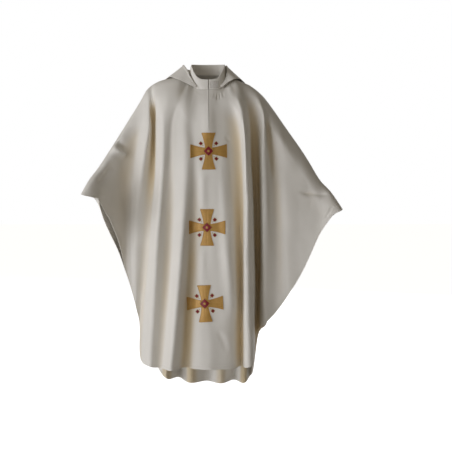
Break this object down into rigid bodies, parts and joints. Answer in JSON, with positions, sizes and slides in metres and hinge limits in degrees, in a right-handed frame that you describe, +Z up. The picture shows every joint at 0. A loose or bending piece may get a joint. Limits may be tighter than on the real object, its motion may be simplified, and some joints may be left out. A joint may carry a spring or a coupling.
{
  "type": "chasuble",
  "caption": "Full cream chasuble worn with the arms held out: a front and a back panel that hang in soft folds, stand collar, cowl hood and embroidered crosses.",
  "frame": {"origin": "middle of the neck opening at the height of the shoulders, where the wearer's neck and shoulders hold the garment", "axes": "+Z up, -Y is the way the front of the garment faces, +X is the wearer's left"},
  "size_m": [1.053, 0.4782, 1.3749],
  "materials": {
    "cloth": "matt twill, cream",
    "closure_patch": "brushed nylon loop, cream",
    "gold_embroidery": "satin stitch in gold thread",
    "crimson_embroidery": "satin stitch in crimson thread"
  },
  "bodies": {
    "root": {"front_panel": "cloth", "back_panel": "cloth", "collar": "cloth", "hood": "cloth", "closure_patch": "closure_patch", "cross_upper": "gold_embroidery", "lozenge_upper": "crimson_embroidery", "cross_middle": "gold_embroidery", "lozenge_middle": "crimson_embroidery", "cross_lower": "gold_embroidery", "lozenge_lower": "crimson_embroidery"}
  },
  "joints": []
}
